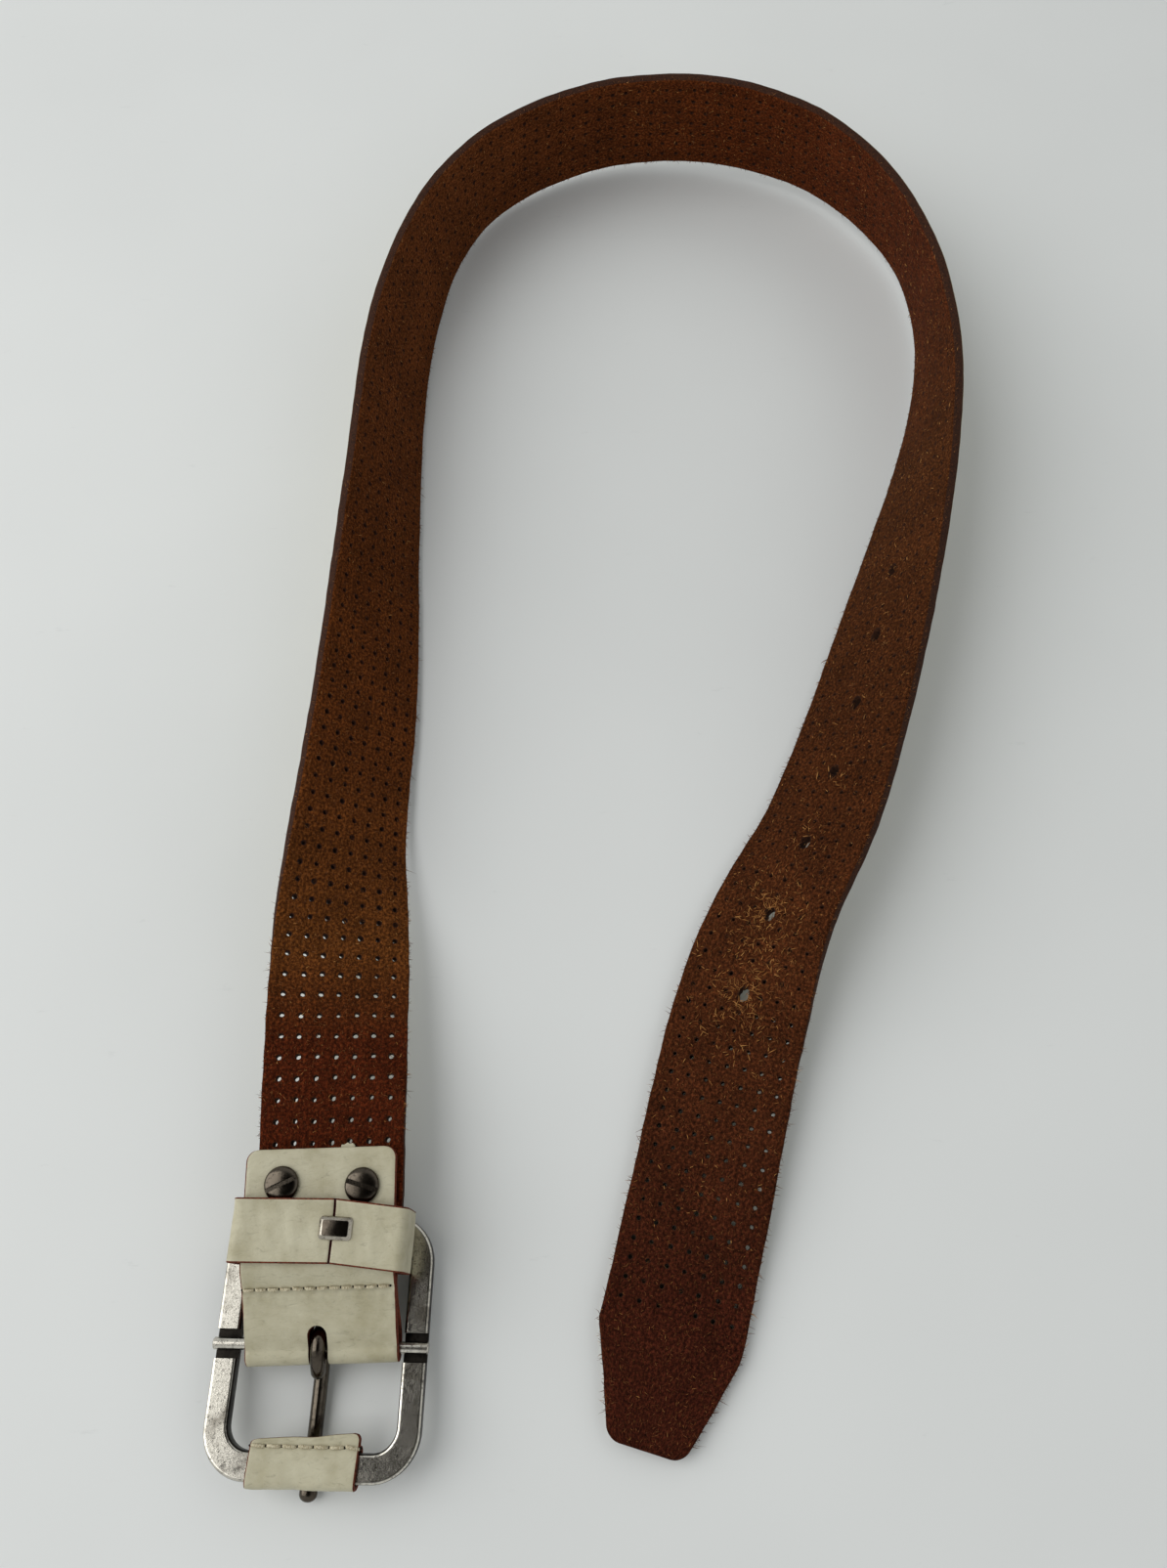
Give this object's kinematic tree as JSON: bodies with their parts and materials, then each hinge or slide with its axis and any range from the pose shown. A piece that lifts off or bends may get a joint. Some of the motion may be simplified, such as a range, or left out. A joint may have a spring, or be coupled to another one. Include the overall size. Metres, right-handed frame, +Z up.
{
  "type": "trouser belt",
  "caption": "Perforated leather trouser belt with a centre-bar buckle, keeper loop and adjusting holes, lying open in a loop on its edge.",
  "frame": {"origin": "centre of the bounding box's bottom, on the surface that the belt lies on", "axes": "+Z up from the table; +Y along the loop, away from the buckle and the tip; +X to the right, from the buckle to the tip"},
  "size_m": [0.2284, 0.4486, 0.0434],
  "materials": {
    "strap_leather": "raw suede back, cream finished front",
    "cream_leather": "smooth cream finish, raw cut edges",
    "thread": "waxed cream thread",
    "buckle_nickel": "antique nickel, worn and speckled",
    "screw_metal": "dark polished nickel",
    "staple_metal": "nickel plated"
  },
  "bodies": {
    "belt": {"strap": "strap_leather", "buckle_tab": "cream_leather", "tab_thread": "thread", "screw_left": "screw_metal", "screw_right": "screw_metal", "screw_post_left": "screw_metal", "screw_post_right": "screw_metal"},
    "buckle": {"buckle_frame": "buckle_nickel", "centre_bar": "buckle_nickel", "bar_wrap": "cream_leather", "wrap_thread": "thread"},
    "prong": {"prong": "screw_metal"},
    "keeper": {"keeper_loop": "cream_leather", "keeper_staple": "staple_metal"}
  },
  "joints": [
    {"name": "buckle_swing", "type": "hinge", "parent": "belt", "child": "buckle", "pos_m": [-0.08569, -0.18827, 0.00688], "axis": [-0.9986, 0.0523, 0], "range_deg": [0, 100]},
    {"name": "prong_swing", "type": "hinge", "parent": "buckle", "child": "prong", "pos_m": [-0.08569, -0.18827, 0.00688], "axis": [0.9986, -0.0523, 0], "range_deg": [0, 120]},
    {"name": "keeper_slide", "type": "slide", "parent": "belt", "child": "keeper", "axis": [0, -1, 0], "range_m": [0, 0.006]}
  ]
}
